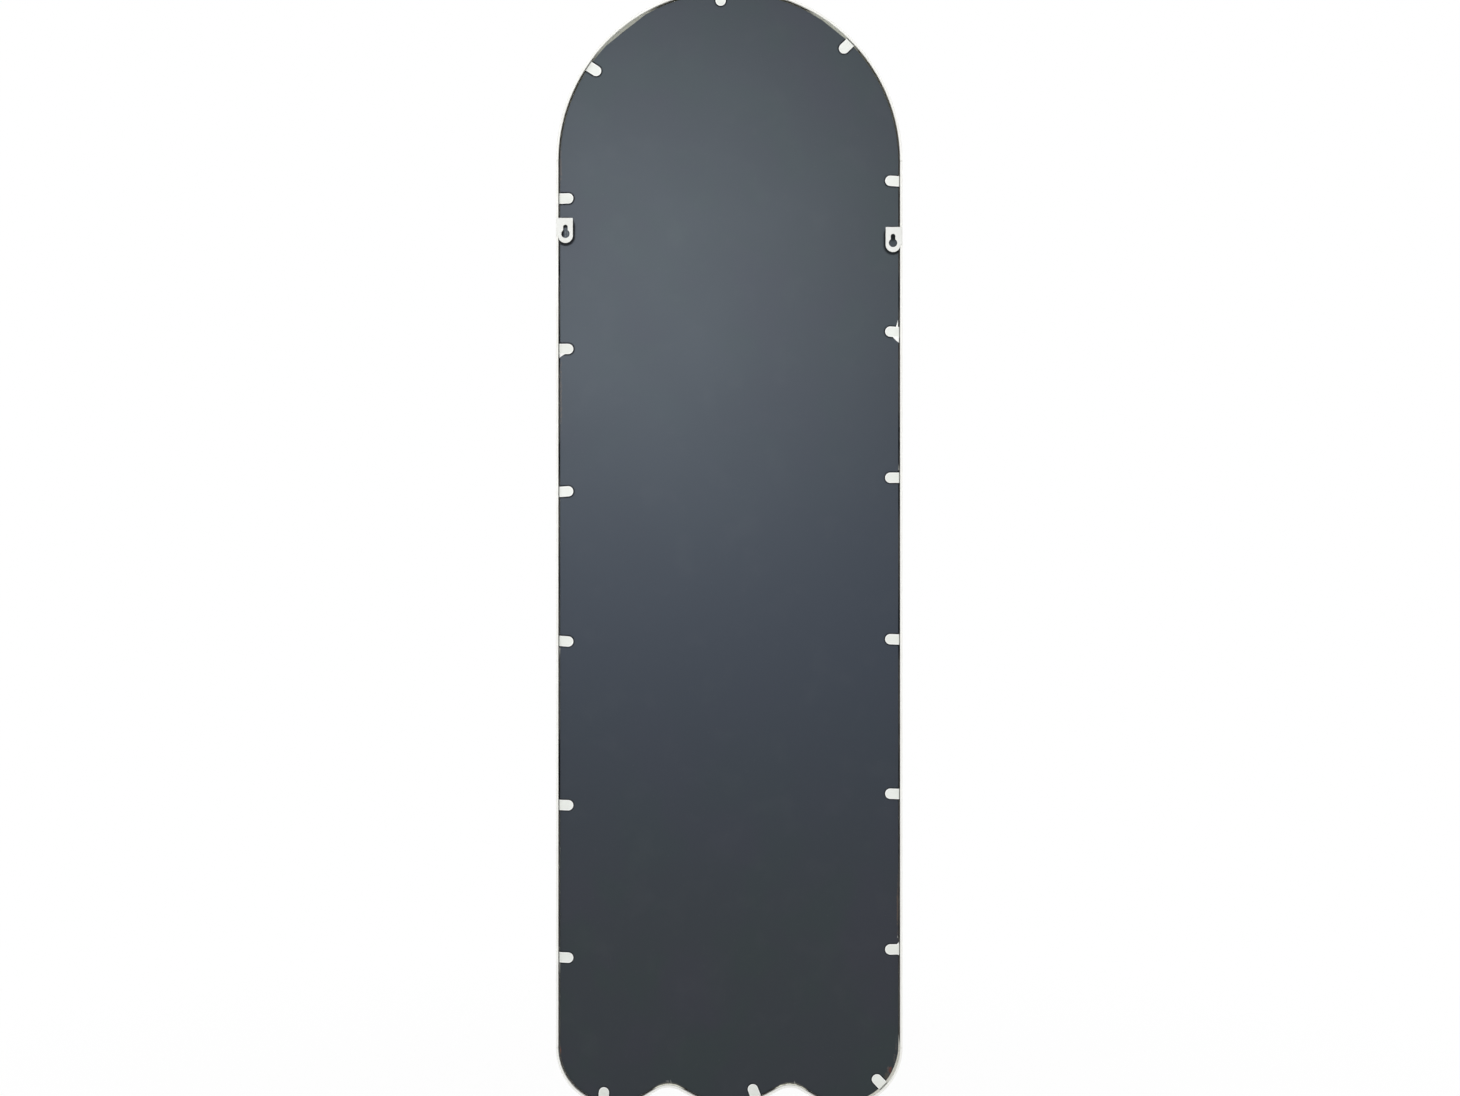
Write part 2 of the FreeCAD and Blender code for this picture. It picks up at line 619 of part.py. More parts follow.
# Hangers: each plate is drawn about its round hole, with its land over the rim's back edge
def hanger(side, toward):
    name = f"hanger_{side}"
    body = new_body(name)
    sketch = new_sketch(body, f"{name}_plate")
    half = size("hanger_width") / 2
    top = size("hanger_head")
    nose_y = -size("hanger_nose")
    rim_x = toward * half
    free_x = -rim_x
    land_x = toward * (size("keyhole_inset") + size("hanger_land"))
    nose = add_arc(sketch, (0, nose_y), half, 180, 360)
    land_end = 2 if toward > 0 else 1
    free_end = 3 - land_end
    corners = [(rim_x, nose_y), (land_x, nose_y), (land_x, top), (free_x, top), (free_x, nose_y)]
    lines = [add_line(sketch, corners[i], corners[i + 1]) for i in range(4)]
    constrain(sketch, "Coincident", nose, land_end, lines[0], 1)
    for i in range(3):
        constrain(sketch, "Coincident", lines[i], 2, lines[i + 1], 1)
    constrain(sketch, "Tangent", lines[3], 2, nose, free_end)
    constrain(sketch, "Horizontal", lines[0])
    constrain(sketch, "Vertical", lines[1])
    constrain(sketch, "Horizontal", lines[2])
    constrain(sketch, "Vertical", lines[3])
    constrain(sketch, "Horizontal", nose, land_end, nose, 3)
    bind_circle(sketch, nose, "Sizes.hanger_width / 2", drop="Sizes.hanger_nose")
    bind(sketch, "DistanceY", -1, 1, lines[2], 1, to="Sizes.hanger_head")
    bind_across(sketch, lines[1], 1, toward, "Sizes.keyhole_inset + Sizes.hanger_land")
    pad(body, sketch, "Sizes.hanger_thickness")

    keyhole = new_sketch(body, f"{name}_keyhole")
    slot_end = size("slot_rise")
    hole_radius = size("keyhole_radius")
    slot_radius = size("slot_radius")
    mouth = math.degrees(math.acos(slot_radius / hole_radius))
    hole = add_arc(keyhole, (0, 0), hole_radius, 180 - mouth, 360 + mouth)
    slot = add_arc(keyhole, (0, slot_end), slot_radius, 0, 180)
    one_side = add_line(keyhole, end_of(keyhole, hole, 2), end_of(keyhole, slot, 1))
    other_side = add_line(keyhole, end_of(keyhole, slot, 2), end_of(keyhole, hole, 1))
    constrain(keyhole, "Coincident", hole, 2, one_side, 1)
    constrain(keyhole, "Tangent", one_side, 2, slot, 1)
    constrain(keyhole, "Tangent", slot, 2, other_side, 1)
    constrain(keyhole, "Coincident", other_side, 2, hole, 1)
    constrain(keyhole, "Vertical", one_side)
    constrain(keyhole, "Vertical", other_side)
    constrain(keyhole, "Coincident", hole, 3, -1, 1)
    bind(keyhole, "Radius", hole, to="Sizes.keyhole_radius")
    bind_circle(keyhole, slot, "Sizes.slot_radius", rise="Sizes.slot_rise")
    cut_through(body, keyhole)

    free_corner = edges_along_depth(body.Shape, free_x, top)
    dress_edges(body, "Fillet", free_corner, "Radius", "Sizes.hanger_corner")
    body.setExpression("Placement.Base.x", f"{toward} * Worked.keyhole_offset")
    body.setExpression("Placement.Base.z", f"Worked.hang_drop - Sizes.keyhole_drop_{side}")
    return body


hanger_left = hanger("left", 1)
hanger_right = hanger("right", -1)

# Check every object and write each piece
nodes = lip_bars + rim_bars + [glazing_tape, mirror_glass, silver_coating, backing_board, setting_blocks]
nodes += [tab_feet, hanger_left, hanger_right] + tabs
doc.recompute()
for thing in doc.Objects:
    if "Invalid" in thing.State or "Error" in thing.State:
        raise RuntimeError(f"{thing.Label} failed: {thing.State}")
for node in nodes:
    if node.Shape.isNull() or not node.Shape.isValid() or not node.Shape.Solids:
        raise RuntimeError(f"{node.Label} has no valid solid")

os.makedirs("parts", exist_ok=True)
for node in nodes:
    node.Shape.exportStep(f"parts/{node.Label}.step")
    box = node.Shape.BoundBox
    print(f"{node.Label}: {len(node.Shape.Solids)} solids, {node.Shape.Volume:.1f} mm3,",
          f"{box.XLength:.2f} by {box.YLength:.2f} by {box.ZLength:.2f} mm")
for name, place in tab_places.items():
    base = place.Base
    axis = place.Rotation.multVec(Vector(1, 0, 0))
    print(f"fold {name} {base.x:.4f} {base.y:.4f} {base.z:.4f} {axis.x:.6f} {axis.y:.6f} {axis.z:.6f}")
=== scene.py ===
import json
import math

import bmesh
import bpy
from mathutils import Matrix, Vector


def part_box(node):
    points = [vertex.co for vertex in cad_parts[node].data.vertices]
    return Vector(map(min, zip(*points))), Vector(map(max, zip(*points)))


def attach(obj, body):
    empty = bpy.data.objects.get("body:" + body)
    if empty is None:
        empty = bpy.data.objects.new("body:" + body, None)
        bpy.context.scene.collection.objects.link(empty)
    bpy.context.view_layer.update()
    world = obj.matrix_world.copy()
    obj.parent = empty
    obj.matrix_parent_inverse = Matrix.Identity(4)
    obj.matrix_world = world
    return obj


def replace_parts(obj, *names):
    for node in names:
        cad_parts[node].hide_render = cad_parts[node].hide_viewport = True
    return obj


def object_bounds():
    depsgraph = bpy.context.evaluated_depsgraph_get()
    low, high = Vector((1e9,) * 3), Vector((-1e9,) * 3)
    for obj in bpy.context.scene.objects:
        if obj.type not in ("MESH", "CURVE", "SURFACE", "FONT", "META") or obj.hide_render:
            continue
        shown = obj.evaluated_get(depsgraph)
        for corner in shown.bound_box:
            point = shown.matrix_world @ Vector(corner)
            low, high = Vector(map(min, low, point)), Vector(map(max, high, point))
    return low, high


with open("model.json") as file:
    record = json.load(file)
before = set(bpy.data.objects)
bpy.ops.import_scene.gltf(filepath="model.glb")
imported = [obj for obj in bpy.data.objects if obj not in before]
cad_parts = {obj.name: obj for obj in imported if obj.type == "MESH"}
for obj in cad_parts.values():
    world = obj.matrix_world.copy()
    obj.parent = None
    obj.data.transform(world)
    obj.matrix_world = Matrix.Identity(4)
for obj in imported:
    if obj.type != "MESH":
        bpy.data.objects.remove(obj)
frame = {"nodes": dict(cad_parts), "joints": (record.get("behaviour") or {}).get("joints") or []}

cad_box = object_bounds()

# The rim is four flat steel bars set on edge, bent to the outline and butt welded end to end.
# The welds are ground flush, and a white powder coat covers the steel and rounds its edges.
rim_bars = ("rim_arch", "rim_left", "rim_right", "rim_wave")
rim_white = (0.93, 0.93, 0.895, 1)
rim_shade = (0.895, 0.89, 0.845, 1)
rim_round = 0.0005
pinhole_grey = (0.30, 0.29, 0.26, 1)
pinhole_cover = 0.6
coat_smooth = 0.34
coat_rough = 0.46
weld_grey = (0.66, 0.65, 0.60, 1)
weld_cover = 0.35
weld_inner = 0.0007
weld_outer = 0.0022
weld_waver = 0.0008
rust_colour = (0.25, 0.075, 0.025, 1)
rust_place = (0.2255, -0.0110, -1.0735)
rust_reach = (0.0012, 0.0050, 0.0060)
# Painted shade in the deep channel behind the board: near black, paler towards the arch and the foot, and
# paler in patches at the arch flats, where the gap is wider.
channel_shade_black = (0.02, 0.02, 0.018, 1)
channel_shade_grey = (0.16, 0.155, 0.14, 1)
channel_shade_arch = (0.20, 0.195, 0.16, 1)
channel_shade_foot = (0.20, 0.195, 0.18, 1)
channel_shade_foot_from = -0.75
channel_shade_arch_fade = 0.06
channel_shade_gloss = 0.05
channel_shade_pale = (0.50, 0.51, 0.445, 1)
channel_shade_pale_places = [
    ((0.1440, -0.012, 0.2745), (0.033, 0.03, 0.027)),
    ((-0.1383, -0.012, 0.2790), (0.023, 0.03, 0.020)),
]
channel_shade_pale_ragged = 0.08
channel_shade_from = -0.0084
core_half_width = 0.14
facing_inward = 0.3
wall_foot, wall_head = (corner.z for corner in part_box("rim_left"))
seam_levels = (wall_foot, wall_head)
join_distance = 1e-6
cut_distance = 1e-7
flat_turn = math.radians(0.5)
sharp_turn = math.radians(40)
corner_turn = math.radians(75)


def add(tree, kind, inputs, **settings):
    """Shader node with these settings; inputs maps its sockets to values or to other nodes' outputs."""
    node = tree.nodes.new(f"ShaderNode{kind}")
    for setting, value in settings.items():
        setattr(node, setting, value)
    for socket, value in inputs.items():
        if isinstance(value, bpy.types.NodeSocket):
            tree.links.new(value, node.inputs[socket])
        else:
            node.inputs[socket].default_value = value
    return node


def noise(tree, place, scale, detail=2.0):
    return add(tree, "TexNoise", {"Vector": place, "Scale": scale, "Detail": detail}).outputs["Fac"]


def fade(tree, value, start, end, low=0.0, high=1.0):
    """Smooth change from low, where the value is at start, to high, where it is at end."""
    levels = {"Value": value, "From Min": start, "From Max": end, "To Min": low, "To Max": high}
    return add(tree, "MapRange", levels, interpolation_type="SMOOTHSTEP").outputs["Result"]


def work_out(tree, operation, first, second):
    return add(tree, "Math", {0: first, 1: second}, operation=operation).outputs[0]


def combine(tree, operation, first, second, result="Vector"):
    """Vector made from two, or their Value where the operation gives a number."""
    return add(tree, "VectorMath", {0: first, 1: second}, operation=operation).outputs[result]


def mix(tree, share, first, second):
    return add(tree, "Mix", {0: share, 6: first, 7: second}, data_type="RGBA").outputs[2]


def new_group(name, inputs, outputs):
    """Shader node group; returns it with the sockets that feed it and that it feeds."""
    group = bpy.data.node_groups.new(name, "ShaderNodeTree")
    for way, sockets in (("INPUT", inputs), ("OUTPUT", outputs)):
        for socket, kind in sockets.items():
            group.interface.new_socket(name=socket, in_out=way, socket_type=f"NodeSocket{kind}")
    entry = group.nodes.new("NodeGroupInput")
    leaving = group.nodes.new("NodeGroupOutput")
    return group, entry.outputs, leaving.inputs


def make_powder_coat():
    """Cloudy white coat with orange peel, a few pinholes and a slightly uneven gloss."""
    group, given, result = new_group(
        "powder_coat",
        {"Place": "Vector", "Colour": "Color", "Shade": "Color"},
        {"Colour": "Color", "Roughness": "Float", "Height": "Float"},
    )
    place = given["Place"]
    clouds = noise(group, place, 16, 3)
    cells = add(group, "TexVoronoi", {"Vector": place, "Scale": 210})
    chance = add(group, "SeparateColor", {"Color": cells.outputs["Color"]}).outputs[0]
    dot = fade(group, cells.outputs["Distance"], 0.10, 0.05)
    pinhole = work_out(group, "MULTIPLY", dot, fade(group, chance, 0.90, 0.92))
    tone = mix(group, fade(group, clouds, 0.38, 0.68), given["Colour"], given["Shade"])
    colour = mix(group, work_out(group, "MULTIPLY", pinhole, pinhole_cover), tone, pinhole_grey)
    peel = noise(group, place, 900, 1)
    swell = noise(group, place, 240, 2)
    height = work_out(group, "ADD", work_out(group, "MULTIPLY", peel, 0.6), swell)
    group.links.new(colour, result["Colour"])
    group.links.new(fade(group, clouds, 0.3, 0.7, coat_smooth, coat_rough), result["Roughness"])
    group.links.new(work_out(group, "SUBTRACT", height, pinhole), result["Height"])
    return group


def make_ground_weld():
    """Band across a bar where a weld was ground flush: a wavering strip at one height."""
    group, given, result = new_group(
        "ground_weld", {"Place": "Vector", "Level": "Float"}, {"Mask": "Float"}
    )
    height = add(group, "SeparateXYZ", {"Vector": given["Place"]}).outputs["Z"]
    waver = fade(group, noise(group, given["Place"], 350, 2), 0.3, 0.7, -weld_waver, weld_waver)
    offset = work_out(group, "SUBTRACT", work_out(group, "ADD", height, waver), given["Level"])
    away = work_out(group, "ABSOLUTE", offset, 0.0)
    group.links.new(fade(group, away, weld_outer, weld_inner), result["Mask"])
    return group


def make_spot():
    """Spot round a centre, as wide as its reach along each axis, with a more or less ragged edge."""
    group, given, result = new_group(
        "ragged_spot",
        {"Place": "Vector", "Centre": "Vector", "Reach": "Vector", "Ragged": "Float"},
        {"Mask": "Float"},
    )
    away = combine(group, "SUBTRACT", given["Place"], given["Centre"])
    shares = combine(group, "DIVIDE", away, given["Reach"])
    distance = add(group, "VectorMath", {0: shares}, operation="LENGTH").outputs["Value"]
    waver = fade(group, noise(group, given["Place"], 420, 3), 0.25, 0.75, -1.0, 1.0)
    ragged = work_out(group, "ADD", distance, work_out(group, "MULTIPLY", waver, given["Ragged"]))
    group.links.new(fade(group, ragged, 1.0, 0.45), result["Mask"])
    return group


powder_coat = make_powder_coat()
ground_weld = make_ground_weld()
ragged_spot = make_spot()


def new_material(name):
    """Empty material; returns it with its nodes, its shader and the place of a point on the object."""
    material = bpy.data.materials.new(name)
    material.use_nodes = True
    tree = material.node_tree
    shader = tree.nodes["Principled BSDF"]
    place = add(tree, "TexCoord", {}).outputs["Object"]
    return material, tree, shader, place


def finish_surface(tree, shader, colour, rough, height, strength, depth):
    """Feed a shader its colour, its roughness and the relief of its surface."""
    bump = add(tree, "Bump", {"Height": height, "Strength": strength, "Distance": depth})
    tree.links.new(colour, shader.inputs["Base Color"])
    tree.links.new(rough, shader.inputs["Roughness"])
    tree.links.new(bump.outputs["Normal"], shader.inputs["Normal"])


def spot(tree, place, centre, reach, ragged=0.45):
    values = {"Place": place, "Centre": centre, "Reach": reach, "Ragged": ragged}
    return add(tree, "Group", values, node_tree=ragged_spot).outputs["Mask"]


def coat_steel(name, colour, shade, seams=()):
    """Powder coated steel, with ground welds at the heights in seams."""
    material, tree, shader, place = new_material(name)
    coat = add(tree, "Group", {"Place": place, "Colour": colour, "Shade": shade}, node_tree=powder_coat)
    skin = coat.outputs["Colour"]
    height = coat.outputs["Height"]
    for level in seams:
        values = {"Place": place, "Level": level}
        band = add(tree, "Group", values, node_tree=ground_weld).outputs["Mask"]
        skin = mix(tree, work_out(tree, "MULTIPLY", band, weld_cover), skin, weld_grey)
        height = work_out(tree, "SUBTRACT", height, band)
    finish_surface(tree, shader, skin, coat.outputs["Roughness"], height, strength=0.6, depth=0.00002)
    return material, tree, shader, place


def lay_over(tree, shader, mask, colour):
    """Lay a colour over the shader's own where the mask is 1."""
    under = shader.inputs["Base Color"].links[0].from_socket
    tree.links.new(mix(tree, mask, under, colour), shader.inputs["Base Color"])


def finish_piece(shape, name, body, slot, *materials):
    """Smooth a bmesh, make it a piece with its materials, and let it ride on a body."""
    for face in shape.faces:
        face.smooth = True
    mesh = bpy.data.meshes.new(name)
    shape.to_mesh(mesh)
    shape.free()
    mesh.set_sharp_from_angle(angle=sharp_turn)
    for material in materials:
        mesh.materials.append(material)
    piece = bpy.data.objects.new(name, mesh)
    bpy.context.scene.collection.objects.link(piece)
    even = piece.modifiers.new("even_shading", "WEIGHTED_NORMAL")
    even.keep_sharp = True
    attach(piece, body)
    return piece


def node_shape(node, weld=join_distance):
    """Copy of a CAD node's mesh with its triangles joined and its flat faces whole."""
    shape = bmesh.new()
    shape.from_mesh(frame["nodes"][node].data)
    bmesh.ops.remove_doubles(shape, verts=shape.verts, dist=weld)
    bmesh.ops.dissolve_limit(shape, angle_limit=flat_turn, verts=shape.verts, edges=shape.edges)
    return shape


def round_edges(shape, width, segments=3):
    """Round every edge where the faces turn a corner."""
    sharp = [edge for edge in shape.edges if edge.is_manifold and edge.calc_face_angle() > corner_turn]
    bmesh.ops.bevel(
        shape, geom=sharp, offset=width, offset_type="OFFSET", segments=segments, profile=0.5,
        affect="EDGES", material=-1, clamp_overlap=True,
    )


def make_rim_coat():
    """Coat with one rust stain on its inner wall, in a corner of the foot."""
    material, tree, shader, place = coat_steel("rim_powder_coat", rim_white, rim_shade, seam_levels)
    lay_over(tree, shader, spot(tree, place, rust_place, rust_reach), rust_colour)
    return material


def make_channel_shade():
    """Painted shade for the deep channel: matt, near black with grey patches, paler towards the arch and
    the foot, and paler in patches at the arch flats.
    """
    material, tree, shader, place = new_material("channel_painted_shade")
    streaks = noise(tree, place, 130, 4)
    patches = noise(tree, place, 9, 2)
    height = add(tree, "SeparateXYZ", {"Vector": place}).outputs["Z"]
    colour = mix(tree, fade(tree, patches, 0.35, 0.55), channel_shade_black, channel_shade_grey)
    at_arch = fade(tree, height, wall_head, wall_head + channel_shade_arch_fade)
    colour = mix(tree, at_arch, colour, channel_shade_arch)
    colour = mix(tree, fade(tree, height, channel_shade_foot_from, wall_foot), colour, channel_shade_foot)
    tree.links.new(colour, shader.inputs["Base Color"])
    for centre, reach in channel_shade_pale_places:
        lay_over(tree, shader, spot(tree, place, centre, reach, channel_shade_pale_ragged), channel_shade_pale)
    tree.links.new(fade(tree, streaks, 0.3, 0.7, 0.8, 0.95), shader.inputs["Roughness"])
    shader.inputs["Specular IOR Level"].default_value = channel_shade_gloss
    return material


def shade_channel(shape):
    """Give a bar's inner wall its second material, the channel's painted shade, beyond the depth where it
    starts.
    """
    everything = shape.verts[:] + shape.edges[:] + shape.faces[:]
    bmesh.ops.bisect_plane(
        shape, geom=everything, dist=cut_distance, plane_co=(0, channel_shade_from, 0), plane_no=(0, 1, 0),
    )
    for face in shape.faces:
        centre = face.calc_center_median()
        core_x = min(max(centre.x, -core_half_width), core_half_width)
        core_z = min(max(centre.z, wall_foot), wall_head)
        inward = Vector((core_x - centre.x, 0, core_z - centre.z)).normalized()
        if centre.y < channel_shade_from and face.normal.dot(inward) > facing_inward:
            face.material_index = 1


rim_coat = make_rim_coat()
channel_shade = make_channel_shade()
for bar in rim_bars:
    shape = node_shape(bar)
    round_edges(shape, rim_round)
    shade_channel(shape)
    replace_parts(finish_piece(shape, f"coated_{bar}", "frame", "rim_white", rim_coat, channel_shade), bar)

# The lips are four strips of sheet, cut to the outline and welded flat to the front of the rim.
# They hold the glass in from the front and wear the same coat; their rear faces in the channel take the
# dark painted shade instead.
lip_strips = ("lip_arch", "lip_left", "lip_right", "lip_wave")
lip_white = (0.87, 0.875, 0.85, 1)
lip_shade = (0.835, 0.835, 0.80, 1)
facing_rear = 0.9


def set_rear_material(shape):
    """Give the faces that look to the rear the second material."""
    for face in shape.faces:
        if face.normal.y > facing_rear:
            face.material_index = 1


lip_coat = coat_steel("lip_powder_coat", lip_white, lip_shade, seam_levels)[0]
for strip in lip_strips:
    shape = node_shape(strip)
    set_rear_material(shape)
    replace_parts(finish_piece(shape, f"coated_{strip}", "frame", "rim_white", lip_coat, channel_shade), strip)

# Glazing tape is a strip of white closed-cell foam with glue on both faces.
# It beds the glass on the back of the lips.
tape_white = (0.75, 0.75, 0.72, 1)
tape_cell_shade = (0.62, 0.62, 0.59, 1)
tape_rough = 0.85
cells_per_metre = 2600


def dress(node, material):
    """Give a CAD node another material in the slot that it has."""
    frame["nodes"][node].data.materials[0] = material


def make_foam():
    material, tree, shader, place = new_material("closed_cell_foam")
    cells = add(tree, "TexVoronoi", {"Vector": place, "Scale": cells_per_metre}).outputs["Distance"]
    bump = add(tree, "Bump", {"Height": cells, "Strength": 0.7, "Distance": 0.0001})
    colour = mix(tree, fade(tree, cells, 0.1, 0.6), tape_cell_shade, tape_white)
    tree.links.new(colour, shader.inputs["Base Color"])
    tree.links.new(bump.outputs["Normal"], shader.inputs["Normal"])
    shader.inputs["Roughness"].default_value = tape_rough
    return material


dress("glazing_tape", make_foam())

# The mirror is one sheet of float glass with ground edges, silvered on its back.
# The glass stands a hair off its silver here, so that both faces show.
glass_tint = (0.975, 0.992, 0.985, 1)
glass_index = 1.52
glass_haze = 0.035
glass_shrink = 0.985


def make_glass():
    material, tree, shader, place = new_material("float_glass")
    haze = noise(tree, place, 9, 4)
    shader.inputs["Base Color"].default_value = glass_tint
    shader.inputs["Transmission Weight"].default_value = 1.0
    shader.inputs["IOR"].default_value = glass_index
    tree.links.new(fade(tree, haze, 0.45, 0.75, 0.0, glass_haze), shader.inputs["Roughness"])
    return material


shape = node_shape("mirror_glass")
front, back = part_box("mirror_glass")
middle = (front.y + back.y) / 2
about_middle = Matrix.Translation((0, -middle, 0))
bmesh.ops.scale(shape, vec=(1, glass_shrink, 1), space=about_middle, verts=shape.verts)
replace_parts(finish_piece(shape, "glass_pane", "frame", "mirror_glass", make_glass()), "mirror_glass")

# The silver is a bright film on the back of the glass, with a faint haze in places.
# Grey-green paint on its back keeps it from tarnishing, and shows where the board is cut short.
silver_colour = (0.93, 0.94, 0.935, 1)
silver_haze = (0.915, 0.925, 0.918, 1)
silver_smooth = 0.008
silver_rough = 0.03
back_paint = (0.55, 0.56, 0.49, 1)
back_paint_thin = (0.44, 0.45, 0.41, 1)


def make_silver():
    material, tree, shader, place = new_material("bright_silver")
    clouds = noise(tree, place, 5, 3)
    colour = mix(tree, fade(tree, clouds, 0.4, 0.8), silver_colour, silver_haze)
    rough = fade(tree, clouds, 0.4, 0.8, silver_smooth, silver_rough)
    tree.links.new(colour, shader.inputs["Base Color"])
    tree.links.new(rough, shader.inputs["Roughness"])
    shader.inputs["Metallic"].default_value = 1.0
    return material


def make_back_paint():
    material, tree, shader, place = new_material("mirror_back_paint")
    runs = noise(tree, place, 60, 4)
    colour = mix(tree, fade(tree, runs, 0.4, 0.7), back_paint, back_paint_thin)
    rough = fade(tree, runs, 0.3, 0.7, 0.55, 0.7)
    finish_surface(tree, shader, colour, rough, runs, strength=0.4, depth=0.0001)
    return material


shape = node_shape("silver_coating")
set_rear_material(shape)
film = finish_piece(shape, "silver_film", "frame", "silver", make_silver(), make_back_paint())
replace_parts(film, "silver_coating")

# Three setting blocks of black rubber stand in the channel at the foot and carry glass and board.
# Each is cut from strip, so its faces are matt and a little dusty.
rubber_black = (0.022, 0.022, 0.023, 1)
rubber_dust = (0.16, 0.155, 0.145, 1)
rubber_dustiness = 0.5


def make_dust():
    """Fine specks and thin clouds of dust."""
    group, given, result = new_group("dust", {"Place": "Vector", "Amount": "Float"}, {"Mask": "Float"})
    cells = add(group, "TexVoronoi", {"Vector": given["Place"], "Scale": 300})
    chance = add(group, "SeparateColor", {"Color": cells.outputs["Color"]}).outputs[0]
    size = fade(group, chance, 0.88, 1.0, 0.0, 0.22)
    speck = fade(group, work_out(group, "SUBTRACT", size, cells.outputs["Distance"]), 0.0, 0.05)
    veil = fade(group, noise(group, given["Place"], 22, 5), 0.5, 0.8, 0.0, 0.35)
    film = work_out(group, "MAXIMUM", speck, veil)
    group.links.new(work_out(group, "MULTIPLY", film, given["Amount"]), result["Mask"])
    return group


dust = make_dust()


def dust_on(tree, place, amount):
    return add(tree, "Group", {"Place": place, "Amount": amount}, node_tree=dust).outputs["Mask"]


def make_rubber():
    material, tree, shader, place = new_material("block_rubber")
    grain = noise(tree, place, 1500, 3)
    colour = mix(tree, dust_on(tree, place, rubber_dustiness), rubber_black, rubber_dust)
    rough = fade(tree, grain, 0.3, 0.7, 0.7, 0.85)
    finish_surface(tree, shader, colour, rough, grain, strength=0.5, depth=0.0001)
    return material


dress("setting_blocks", make_rubber())

# The back is a sheet of hardboard sawn to the glass and rolled with slate paint, which is half gloss.
# Its sawn edge is bare brown fibre, and the paint is rubbed and chipped where the board was forced in.
slate = (0.0160, 0.0173, 0.0195, 1)
slate_green = (0.0150, 0.0191, 0.0185, 1)
slate_violet = (0.0180, 0.0169, 0.0220, 1)
slate_blue = (0.0163, 0.0196, 0.0300, 1)
slate_sheen = (0.74, 0.87, 1.0, 1)
slate_gloss = 0.40
slate_smooth = 0.345
slate_rough = 0.356
rubbed_dullness = 0.45
roller_stretch = (1, 1, 0.18)
blue_foot, blue_middle, blue_head = -1.0, -0.5, 0.05
bare_fibre = (0.075, 0.048, 0.030, 1)
board_dust = (0.20, 0.205, 0.20, 1)
board_dustiness = 0.06
# Painted shade on the board: dark outlines round the tabs, painted shadows round the hanger plates and
# painted shadow inside the keyholes.
painted_shade = (0.004, 0.004, 0.0045, 1)
shade_dark = 0.0010
shade_reach = 0.0024
shade_inset = 0.0040
tab_half_width = 0.0068
plate_half_width = 0.00975
plate_shadow_reach = 0.0034
plate_drop = Vector((0, 0, -0.0006))
keyhole_shades = [
    ((0.2202, 0.0070), (0.0022, 0.0080)),
    ((0.2170, 0.0165), (0.0036, 0.0022)),
    ((-0.2172, 0.0042), (0.0062, 0.0088)),
]
keyhole_ragged = 0.1
mark_depth = 0.004
facing_flat = 0.999
board_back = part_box("backing_board")[1].y
folds = {joint["child"]: joint for joint in frame["joints"]}
hangers = ("hanger_left", "hanger_right")
worn_edge = (0.060, 0.046, 0.030, 1)
worn_streak = (0.056, 0.048, 0.042, 1)
rust_dark = (0.11, 0.022, 0.008, 1)
scratch_grey = (0.12, 0.12, 0.115, 1)
chip_cover = 0.8
# Each chip: centre, half width and half height, and the colour that shows.
chips = [
    ((0.2230, -1.0735), (0.0014, 0.0060), rust_colour),
    ((-0.2116, -1.0980), (0.0034, 0.0054), rust_dark),
    ((-0.2085, -1.1075), (0.0040, 0.0100), worn_edge),
    ((-0.2100, -1.0985), (0.0022, 0.0080), worn_streak),
    ((-0.2182, -1.0840), (0.0018, 0.0090), worn_streak),
    ((-0.2204, -1.0660), (0.0010, 0.0080), worn_streak),
    ((0.0812, -1.1132), (0.0030, 0.0016), scratch_grey),
    ((0.2226, 0.0950), (0.0016, 0.0260), bare_fibre),
    ((0.2222, -0.2100), (0.0014, 0.0500), bare_fibre),
    ((-0.2224, -0.8800), (0.0013, 0.0400), bare_fibre),
    ((0.2162, 0.0080), (0.0010, 0.0072), scratch_grey),
    ((0.2135, 0.0070), (0.0010, 0.0056), scratch_grey),
]


def make_strip_distance():
    """Distance of a point from the middle line of a strip, between two ends."""
    group, given, result = new_group(
        "strip_distance", {"Place": "Vector", "Root": "Vector", "Tip": "Vector"}, {"Distance": "Float"}
    )
    from_root = combine(group, "SUBTRACT", given["Place"], given["Root"])
    strip = combine(group, "SUBTRACT", given["Tip"], given["Root"])
    along = combine(group, "DOT_PRODUCT", from_root, strip, "Value")
    whole = combine(group, "DOT_PRODUCT", strip, strip, "Value")
    share = add(group, "Clamp", {"Value": work_out(group, "DIVIDE", along, whole)}).outputs[0]
    nearest = add(group, "VectorMath", {0: strip, "Scale": share}, operation="SCALE").outputs[0]
    distance = combine(group, "DISTANCE", from_root, nearest, "Value")
    group.links.new(distance, result["Distance"])
    return group


strip_distance = make_strip_distance()


def away_from_strip(tree, place, root, tip):
    values = {"Place": place, "Root": root, "Tip": tip}
    return add(tree, "Group", values, node_tree=strip_distance).outputs["Distance"]


def finger_strip(tab):
    """Root of a finger and the centre of its round tip, as it lies on the board."""
    root = Vector(folds[tab]["pos_m"])
    mesh = frame["nodes"][tab].data
    flat = [face for face in mesh.polygons if face.normal.y > facing_flat]
    middle = sum((face.center * face.area for face in flat), Vector()) / sum(face.area for face in flat)
    root.y = middle.y = board_back
    along = (middle - root).normalized()
    length = max((vertex.co - root).dot(along) for vertex in mesh.vertices)
    return root, root + along * (length - tab_half_width)


def plate_strip(hanger):
    """Centres of the upper and lower end of a hanger plate's shadow on the board."""
    low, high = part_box(hanger)
    toward = math.copysign(1, low.x + high.x)
    middle = toward * (min(abs(low.x), abs(high.x)) + plate_half_width)
    upper = Vector((middle, board_back, high.z - plate_half_width))
    lower = Vector((middle, board_back, low.z + plate_half_width))
    return upper + plate_drop, lower + plate_drop


